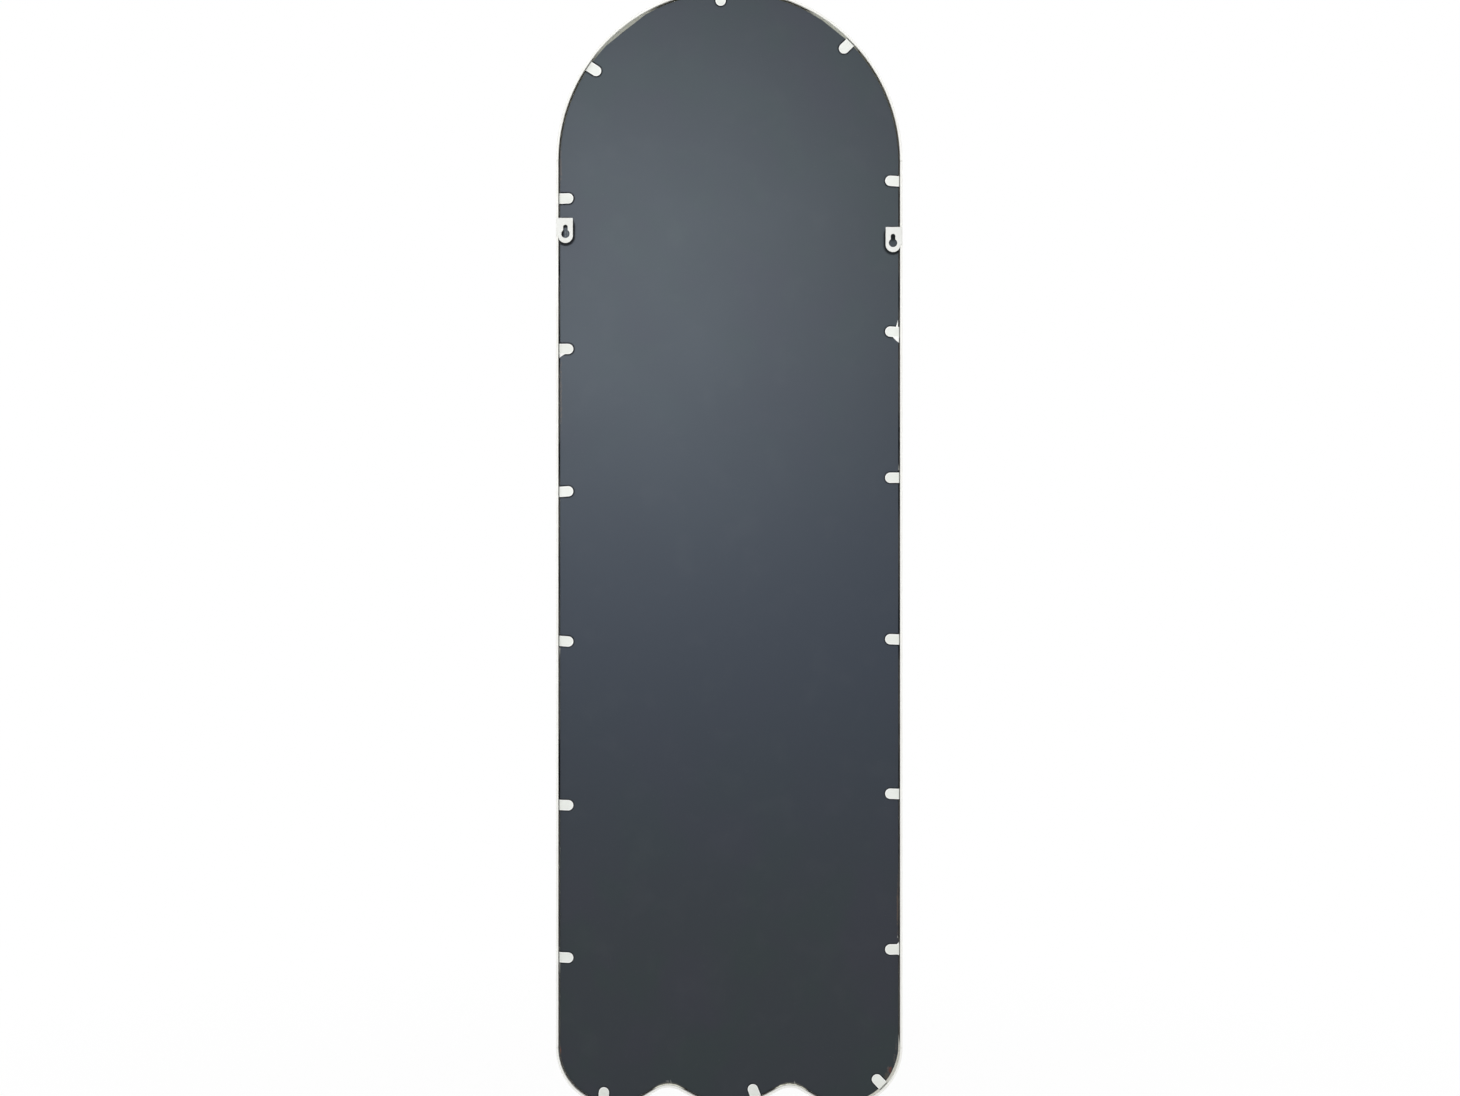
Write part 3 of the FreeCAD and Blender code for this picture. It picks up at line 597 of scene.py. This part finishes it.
def painted_shade_on(tree, place):
    """Painted shade round the tabs, and painted shadow round the hanger plates and in their keyholes."""
    strips = [(finger_strip(tab), tab_half_width, shade_reach) for tab in folds]
    strips += [(plate_strip(hanger), plate_half_width, plate_shadow_reach) for hanger in hangers]
    shading = 0.0
    for (root, tip), half_width, reach in strips:
        distance = away_from_strip(tree, place, root, tip)
        outer = fade(tree, distance, half_width + reach, half_width + shade_dark)
        inner = fade(tree, distance, half_width - shade_inset, half_width - shade_dark)
        shading = work_out(tree, "MAXIMUM", work_out(tree, "MULTIPLY", outer, inner), shading)
    for (x, z), (wide, tall) in keyhole_shades:
        shaded = spot(tree, place, (x, board_back, z), (wide, mark_depth, tall), keyhole_ragged)
        shading = work_out(tree, "MAXIMUM", shaded, shading)
    patchy = fade(tree, noise(tree, place, 600, 2), 0.3, 0.7, 0.75, 1.0)
    return work_out(tree, "MULTIPLY", shading, patchy)


def make_slate():
    material, tree, shader, place = new_material("slate_paint")
    drift = noise(tree, place, 7, 3)
    hue = noise(tree, place, 12, 2)
    colour = mix(tree, fade(tree, hue, 0.45, 0.62), slate, slate_green)
    colour = mix(tree, fade(tree, drift, 0.5, 0.66), colour, slate_violet)
    height = add(tree, "SeparateXYZ", {"Vector": place}).outputs["Z"]
    lower = fade(tree, height, blue_foot, blue_middle)
    upper = fade(tree, height, blue_head, blue_middle)
    colour = mix(tree, work_out(tree, "MULTIPLY", lower, upper), colour, slate_blue)
    for (x, z), (wide, tall), shown in chips:
        chip = spot(tree, place, (x, board_back, z), (wide, mark_depth, tall))
        colour = mix(tree, work_out(tree, "MULTIPLY", chip, chip_cover), colour, shown)
    normal = add(tree, "NewGeometry", {}).outputs["True Normal"]
    facing = add(tree, "SeparateXYZ", {"Vector": normal}).outputs["Y"]
    edge = fade(tree, work_out(tree, "ABSOLUTE", facing, 0.0), 0.7, 0.4)
    colour = mix(tree, edge, colour, bare_fibre)
    colour = mix(tree, dust_on(tree, place, board_dustiness), colour, board_dust)
    # Painted shade round the tabs and painted shadow of the plates, darkened and dulled.
    painted_shade_mask = painted_shade_on(tree, place)
    colour = mix(tree, painted_shade_mask, colour, painted_shade)
    stretched = add(tree, "Mapping", {"Vector": place, "Scale": roller_stretch}).outputs["Vector"]
    rolled = noise(tree, stretched, 420, 3)
    grain = noise(tree, place, 1500, 2)
    relief = work_out(tree, "ADD", rolled, work_out(tree, "MULTIPLY", grain, 0.5))
    dull = work_out(tree, "MULTIPLY", work_out(tree, "MAXIMUM", edge, painted_shade_mask), rubbed_dullness)
    rough = work_out(tree, "ADD", fade(tree, drift, 0.3, 0.7, slate_smooth, slate_rough), dull)
    finish_surface(tree, shader, colour, rough, relief, strength=0.5, depth=0.00002)
    shader.inputs["Specular IOR Level"].default_value = slate_gloss
    shader.inputs["Specular Tint"].default_value = slate_sheen
    return material


dress("backing_board", make_slate())

# Sealant was run into the gap round the board at the foot and the arch, where the curve fits worst.
# Each bead was drawn along the rim with a nozzle and sinks away at both ends.
# At the foot it also laps on the board.
valley_pale = (0.80, 0.80, 0.69, 1)
corner_pale = (0.62, 0.61, 0.555, 1)
arch_pale = (0.38, 0.39, 0.335, 1)
sealant_dirt = (0.30, 0.29, 0.25, 1)
sealant_smear = (0.075, 0.075, 0.068, 1)
valley_clean = 0.40
all_clean = 2.0
smear_from = -0.15
smear_to = 0.20
bead_lap = 0.0007
bead_lift = 0.00012
bead_dip = 0.0002
bead_depth = 0.003
bead_sink = 0.005
bead_taper = 0.18
bead_steps = 40
angle_slack = 0.01
valley_radii = (0.0330, 0.0352)
corner_radii = (0.0743, 0.0721)
arch_radii = (0.2255, 0.2212)
arch_centre = (0, 0.1025)
# Each bead: centre, radii of the wall and of the board's edge, angles from X towards Z in degrees, lap on
# the board, colour, and the share of its width that is clean.
beads = {
    "left_valley": ((0.080, -1.150), valley_radii, (48, 132), bead_lap, valley_pale, valley_clean),
    "right_valley": ((-0.080, -1.150), valley_radii, (48, 142), bead_lap, valley_pale, valley_clean),
    "right_corner": ((-0.15117, -1.06767), corner_radii, (168, 254), bead_lap, corner_pale, all_clean),
    "arch_left": (arch_centre, arch_radii, (36, 65), 0, arch_pale, all_clean),
    "arch_right": (arch_centre, arch_radii, (117, 139), 0, arch_pale, all_clean),
}


def make_sealant(name, pale, clean):
    """Pale sealant, smeared dark past a clean share of its width, which bead_across measures."""
    material, tree, shader, place = new_material(name)
    smears = noise(tree, place, 240, 4)
    colour = mix(tree, fade(tree, smears, 0.5, 0.8, 0.0, 0.7), pale, sealant_dirt)
    across = add(tree, "Attribute", {}, attribute_name="bead_across").outputs["Fac"]
    ragged = work_out(tree, "ADD", across, fade(tree, smears, 0.3, 0.7, -0.2, 0.2))
    colour = mix(tree, fade(tree, ragged, clean + smear_from, clean + smear_to), colour, sealant_smear)
    rough = fade(tree, smears, 0.3, 0.7, 0.45, 0.65)
    finish_surface(tree, shader, colour, rough, smears, strength=0.5, depth=0.0002)
    return material


def make_bead(centre, radii, start, end, lap):
    """Section across the gap, spun about the curve's centre; bead_across runs from wall to board."""
    wall, edge = radii
    pivot = Vector((centre[0], 0, centre[1]))
    outward = Vector((math.cos(start), 0, math.sin(start)))
    onto_board = math.copysign(lap, edge - wall)
    low = board_back - bead_dip
    high = board_back + bead_lift if lap else low
    bottom = board_back - bead_depth
    section = [
        (wall, low), ((wall + edge) / 2, low), (edge, high), (edge + onto_board, high),
        (edge + onto_board, low), (edge, low), (edge, bottom), (wall, bottom),
    ]
    shape = bmesh.new()
    corners = []
    for radius, depth in section:
        corners.append(shape.verts.new(pivot + outward * radius + Vector((0, depth, 0))))
    face = shape.faces.new(corners)
    bmesh.ops.spin(
        shape, geom=[face, *face.edges, *face.verts], cent=pivot, axis=(0, -1, 0), angle=end - start,
        steps=bead_steps, use_merge=False, use_duplicate=False,
    )
    across = shape.verts.layers.float.new("bead_across")
    for vertex in shape.verts:
        away = vertex.co - pivot
        radius = math.hypot(away.x, away.z)
        vertex[across] = (radius - wall) / (edge - wall)
        turned = (math.atan2(away.z, away.x) - start + angle_slack) % math.tau - angle_slack
        from_end = min(turned, end - start - turned) / (end - start) / bead_taper
        over_edge = (radius - edge) * math.copysign(1, onto_board)
        if lap and over_edge > join_distance:
            fullness = min(max(from_end - 1, 0), 1)
            radius_now = edge + onto_board * fullness
            vertex.co = pivot + away * (radius_now / radius)
            vertex.co.y = away.y
        vertex.co.y -= bead_sink * max(0, 1 - from_end) ** 2
    bmesh.ops.remove_doubles(shape, verts=shape.verts, dist=join_distance)
    bmesh.ops.recalc_face_normals(shape, faces=shape.faces)
    return shape


for bead, (centre, radii, (start, end), lap, pale, clean) in beads.items():
    shape = make_bead(centre, radii, math.radians(start), math.radians(end), lap)
    sealant = make_sealant(f"sealant_{bead}", pale, clean)
    finish_piece(shape, f"sealant_{bead}", "frame", "foam_tape", sealant)

# Eighteen bend tabs hold the board in. Each is a strip of sheet spot welded to the rim's inner wall
# by its foot, coated with the rim, and folded over by hand, which cracks the coat along the fold.
tab_white = (0.83, 0.852, 0.815, 1)
tab_shade = (0.79, 0.812, 0.765, 1)
# Painted highlight along the fingers' edges: its colour and width.
tab_edge_highlight = (0.965, 0.97, 0.955, 1)
tab_highlight_width = 0.0013
# Painted shade along each fold line, where the bend curves away.
fold_shade = (0.08, 0.08, 0.066, 1)
fold_shade_near = 0.0008
fold_shade_far = 0.0014
fold_shade_cover = 0.9
bare_steel = (0.36, 0.35, 0.33, 1)
crack_near = 0.0006
crack_far = 0.0016
crack_cover = 0.6
tab_round = 0.00022
sliver = 0.00005


def brighten_edges(tree, shader, place):
    """Painted highlight along a finger's edges, away from the strip's middle line."""
    root = add(tree, "Attribute", {}, attribute_name="strip_root").outputs["Vector"]
    tip = add(tree, "Attribute", {}, attribute_name="strip_tip").outputs["Vector"]
    distance = away_from_strip(tree, place, root, tip)
    edge = fade(tree, distance, tab_half_width - tab_highlight_width, tab_half_width - tab_round)
    lay_over(tree, shader, edge, tab_edge_highlight)


def keep_strip(piece, tab):
    """Keep the ends of the middle line of a tab's finger as attributes."""
    for name, place in zip(("strip_root", "strip_tip"), finger_strip(tab)):
        ends = piece.data.attributes.new(name, "FLOAT_VECTOR", "POINT")
        ends.data.foreach_set("vector", [*place] * len(piece.data.vertices))


def make_tab_coat():
    """Powder coat that is crazed along the fold, where the piece's fold_reach is small, and carries
    painted shade along the fold line.
    """
    material, tree, shader, place = coat_steel("tab_powder_coat", tab_white, tab_shade)
    brighten_edges(tree, shader, place)
    reach = add(tree, "Attribute", {}, attribute_name="fold_reach").outputs["Fac"]
    crazing = add(tree, "TexVoronoi", {"Vector": place, "Scale": 1100}, feature="DISTANCE_TO_EDGE")
    crack = fade(tree, crazing.outputs["Distance"], 0.07, 0.02)
    cracked = work_out(tree, "MULTIPLY", crack, fade(tree, reach, crack_far, crack_near))
    lay_over(tree, shader, work_out(tree, "MULTIPLY", cracked, crack_cover), bare_steel)
    # Painted shade along the fold line.
    fold_shaded = fade(tree, reach, fold_shade_far, fold_shade_near, 0.0, fold_shade_cover)
    lay_over(tree, shader, fold_shaded, fold_shade)
    return material


def mark_fold(piece, tab):
    """Keep each point's distance from the tab's fold line as an attribute."""
    start = Vector(folds[tab]["pos_m"])
    along = Vector(folds[tab]["axis"]).normalized()
    reach = piece.data.attributes.new("fold_reach", "FLOAT", "POINT")
    for vertex in piece.data.vertices:
        away = vertex.co - start
        reach.data[vertex.index].value = (away - along * away.dot(along)).length


tab_coat = make_tab_coat()
for tab in folds:
    shape = node_shape(tab, weld=sliver)
    round_edges(shape, tab_round, segments=2)
    finger = finish_piece(shape, f"coated_{tab}", tab, "tab_white", tab_coat)
    mark_fold(finger, tab)
    keep_strip(finger, tab)
    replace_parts(finger, tab)
dress("tab_feet", coat_steel("foot_powder_coat", tab_white, tab_shade)[0])

# Three tabs were sheared badly and kept a torn web at the root, which folds with the tab.
# Each web is a ragged corner of the same sheet, beside the finger and along its fold line.
web_thickness = 0.0009
web_lift = 0.00005
web_round = 0.0002
web_overlap = 0.0015
web_blunt = 0.0003
web_steps = 5
# Each web: tab, side, distances from the fold line that it lies between, length along the wall, and how
# hollow its torn edge is.
webs = [
    ("tab_left_2", "lower", 0.0, 0.0078, 0.0058, 1.5),
    ("tab_right_2", "lower", 0.0, 0.0082, 0.0074, 0.85),
    ("tab_right_2", "upper", 0.0018, 0.0044, 0.0090, 1.2),
    ("tab_right_6", "upper", 0.0, 0.0030, 0.0044, 1.5),
    ("tab_right_6", "lower", 0.0, 0.0022, 0.0016, 1.5),
]


def make_web(tab, side, outward, inward, along, hollow):
    """Web beside the finger, between two distances from its fold line, tapered along the wall."""
    fold_x, _, fold_z = folds[tab]["pos_m"]
    toward = math.copysign(1, fold_x)
    up = 1 if side == "upper" else -1
    root_z = fold_z + up * tab_half_width
    base = board_back + web_lift
    shape = bmesh.new()
    outline = [
        shape.verts.new((fold_x - toward * outward, base, root_z - up * web_overlap)),
        shape.verts.new((fold_x - toward * inward, base, root_z - up * web_overlap)),
    ]
    for step in range(web_steps + 1):
        share = step / web_steps
        reach = outward + (inward - outward) * (1 - share) ** hollow + web_blunt
        outline.append(shape.verts.new((fold_x - toward * reach, base, root_z + up * along * share)))
    outline.append(shape.verts.new((fold_x - toward * outward, base, root_z + up * along)))
    face = shape.faces.new(outline)
    raised = bmesh.ops.extrude_face_region(shape, geom=[face])
    corners = [thing for thing in raised["geom"] if isinstance(thing, bmesh.types.BMVert)]
    bmesh.ops.translate(shape, vec=(0, web_thickness, 0), verts=corners)
    bmesh.ops.recalc_face_normals(shape, faces=shape.faces)
    round_edges(shape, web_round, segments=2)
    return shape


for tab, side, outward, inward, along, hollow in webs:
    shape = make_web(tab, side, outward, inward, along, hollow)
    web = finish_piece(shape, f"{tab}_{side}_web", tab, "tab_white", tab_coat)
    mark_fold(web, tab)
    keep_strip(web, tab)

# Two keyhole plates are punched from sheet, welded flat on the back edge of the rim and coated white.
# The press leaves their edges and the keyhole slightly rolled.
plate_white = (0.805, 0.815, 0.79, 1)
plate_shade = (0.77, 0.775, 0.745, 1)
plate_round = 0.00035

plate_coat = coat_steel("plate_powder_coat", plate_white, plate_shade)[0]
for hanger in hangers:
    shape = node_shape(hanger)
    round_edges(shape, plate_round)
    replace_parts(finish_piece(shape, f"coated_{hanger}", "frame", "hanger_white", plate_coat), hanger)

# Tails of the glazing tape were pulled through to the back and torn off, and glue dried in threads.
# Each is a flat sliver on the board that narrows to its tip.
tail_grey = (0.15, 0.15, 0.135, 1)
tail_pale = (0.30, 0.30, 0.28, 1)
tail_thickness = 0.00015
tail_steps = 6
tail_narrowing = 0.9
# Each tail: root, tip and width at the root.
tails = {
    "left_valley": ((0.0769, -1.1150), (0.0775, -1.1102), 0.0012),
    "right_valley": ((-0.0866, -1.1160), (-0.0861, -1.1122), 0.0018),
    "right_3_thread": ((-0.2239, -0.3055), (-0.2239, -0.2976), 0.0018),
    "right_6_drop": ((-0.2226, -0.9235), (-0.2226, -0.9200), 0.0014),
    "left_4_thread": ((0.2239, -0.5400), (0.2239, -0.5560), 0.0016),
    "left_6_thread": ((0.2239, -0.9570), (0.2239, -0.9740), 0.0016),
}


def make_tail_film():
    material, tree, shader, place = new_material("torn_tape")
    streaks = noise(tree, place, 900, 3)
    colour = mix(tree, fade(tree, streaks, 0.35, 0.65), tail_grey, tail_pale)
    rough = fade(tree, streaks, 0.3, 0.7, 0.5, 0.75)
    finish_surface(tree, shader, colour, rough, streaks, strength=0.6, depth=0.0001)
    return material


def make_tail(start, tip, width):
    """Short edge across the start, drawn out step by step to the tip, where it is almost a point."""
    root = Vector((start[0], board_back, start[1]))
    step = (Vector((tip[0], board_back, tip[1])) - root) / tail_steps
    across = step.cross(Vector((0, 1, 0))).normalized() * width / 2
    shape = bmesh.new()
    edge = shape.edges.new((shape.verts.new(root - across), shape.verts.new(root + across)))
    centre = root
    for number in range(tail_steps):
        grown = bmesh.ops.extrude_edge_only(shape, edges=[edge])["geom"]
        edge = next(thing for thing in grown if isinstance(thing, bmesh.types.BMEdge))
        bmesh.ops.translate(shape, vec=step, verts=edge.verts[:])
        centre = centre + step
        left = tail_steps - number
        narrow = (left - tail_narrowing) / left
        about_centre = Matrix.Translation(-centre)
        bmesh.ops.scale(shape, vec=(narrow, 1, narrow), space=about_centre, verts=edge.verts[:])
    raised = bmesh.ops.extrude_face_region(shape, geom=shape.faces[:])["geom"]
    corners = [thing for thing in raised if isinstance(thing, bmesh.types.BMVert)]
    bmesh.ops.translate(shape, vec=(0, tail_thickness, 0), verts=corners)
    bmesh.ops.recalc_face_normals(shape, faces=shape.faces)
    return shape


tail_film = make_tail_film()
for tail, (start, tip, width) in tails.items():
    finish_piece(make_tail(start, tip, width), f"tape_tail_{tail}", "frame", "foam_tape", tail_film)

# The mirror stands on a plain pale floor. To the eye, and in gloss and glass, the floor is white,
# but near the mirror it keeps some of its own shade.
floor_gap = 0.0005
floor_level = cad_box[0].z - floor_gap
floor_radius = 20.0
floor_sides = 96
floor_pale = (0.80, 0.80, 0.79, 1)
floor_rough = 0.9
shade_near = 0.2
shade_far = 1.6
white_share = 0.95
white = (1, 1, 1, 1)


def background_rays(tree):
    """1 for a ray from the eye, and for one sent on by gloss or glass: all see the plain background."""
    rays = add(tree, "LightPath", {}).outputs
    sent_on = work_out(tree, "MAXIMUM", rays["Is Glossy Ray"], rays["Is Transmission Ray"])
    return work_out(tree, "MAXIMUM", rays["Is Camera Ray"], sent_on)


def make_floor():
    material, tree, shader, place = new_material("pale_floor")
    shader.inputs["Base Color"].default_value = floor_pale
    shader.inputs["Roughness"].default_value = floor_rough
    away = combine(tree, "DISTANCE", place, (0, 0, floor_level), "Value")
    plain = fade(tree, away, shade_near, shade_far, white_share, 1.0)
    share = work_out(tree, "MULTIPLY", plain, background_rays(tree))
    glow = add(tree, "Emission", {"Color": white, "Strength": 1.0}).outputs[0]
    blend = add(tree, "MixShader", {0: share, 1: shader.outputs[0], 2: glow})
    tree.links.new(blend.outputs[0], tree.nodes["Material Output"].inputs["Surface"])
    return material


shape = bmesh.new()
bmesh.ops.create_circle(shape, cap_ends=True, segments=floor_sides, radius=floor_radius)
bmesh.ops.translate(shape, vec=(0, 0, floor_level), verts=shape.verts)
floor_mesh = bpy.data.meshes.new("floor")
shape.to_mesh(floor_mesh)
shape.free()
floor_mesh.materials.append(make_floor())
floor = bpy.data.objects.new("floor", floor_mesh)
bpy.context.scene.collection.objects.link(floor)

# The light is a soft box over the camera, one high to the left, one for the mirror's front, and a room
# that is paler above than below. To the eye, and in gloss and glass, the room is plain white.
room_below = 0.50
room_above = 0.68
room_rise = 0.6
key_place = (0.30, 4.2, 0.35)
key_watts = 42
key_side = 0.8
left_place = (2.2, 3.2, 2.4)
left_watts = 22
left_side = 1.2
front_place = (-1.6, -3.8, 1.5)
front_watts = 75
front_side = 1.4
light_aim = Vector((0, 0, -0.4))


def soft_box(name, place, watts, side):
    lamp = bpy.data.lights.new(name, "AREA")
    lamp.shape = "SQUARE"
    lamp.size = side
    lamp.energy = watts
    box = bpy.data.objects.new(name, lamp)
    box.location = place
    box.rotation_euler = (light_aim - Vector(place)).to_track_quat("-Z", "Y").to_euler()
    bpy.context.scene.collection.objects.link(box)


soft_box("key_box", key_place, key_watts, key_side)
soft_box("left_box", left_place, left_watts, left_side)
soft_box("front_box", front_place, front_watts, front_side)

world = bpy.data.worlds.new("white_room")
world.use_nodes = True
bpy.context.scene.world = world
room = world.node_tree
direction = add(room, "TexCoord", {}).outputs["Generated"]
rise = add(room, "SeparateXYZ", {"Vector": direction}).outputs["Z"]
level = fade(room, rise, -room_rise, room_rise, room_below, room_above)
walls = add(room, "Background", {"Color": white, "Strength": level}).outputs[0]
backdrop = add(room, "Background", {"Color": white, "Strength": 1.0}).outputs[0]
both = add(room, "MixShader", {0: background_rays(room), 1: walls, 2: backdrop})
room.links.new(both.outputs[0], room.nodes["World Output"].inputs["Surface"])

# The camera looks straight at the back of the mirror, level with its middle.
# The picture crops the crown and the lobes of the foot, as the photograph does.
camera_distance = 4.0
camera_offset = -0.0010
camera_height = -0.4083
seen_width = 1.925
sensor_width = 36.0

camera = bpy.data.cameras.new("camera")
camera.sensor_width = sensor_width
camera.lens = sensor_width * camera_distance / seen_width
viewer = bpy.data.objects.new("camera", camera)
viewer.location = (camera_offset, camera_distance, camera_height)
viewer.rotation_euler = (math.pi / 2, 0, math.pi)
bpy.context.scene.collection.objects.link(viewer)
bpy.context.scene.camera = viewer
bpy.context.scene.view_settings.view_transform = "Standard"
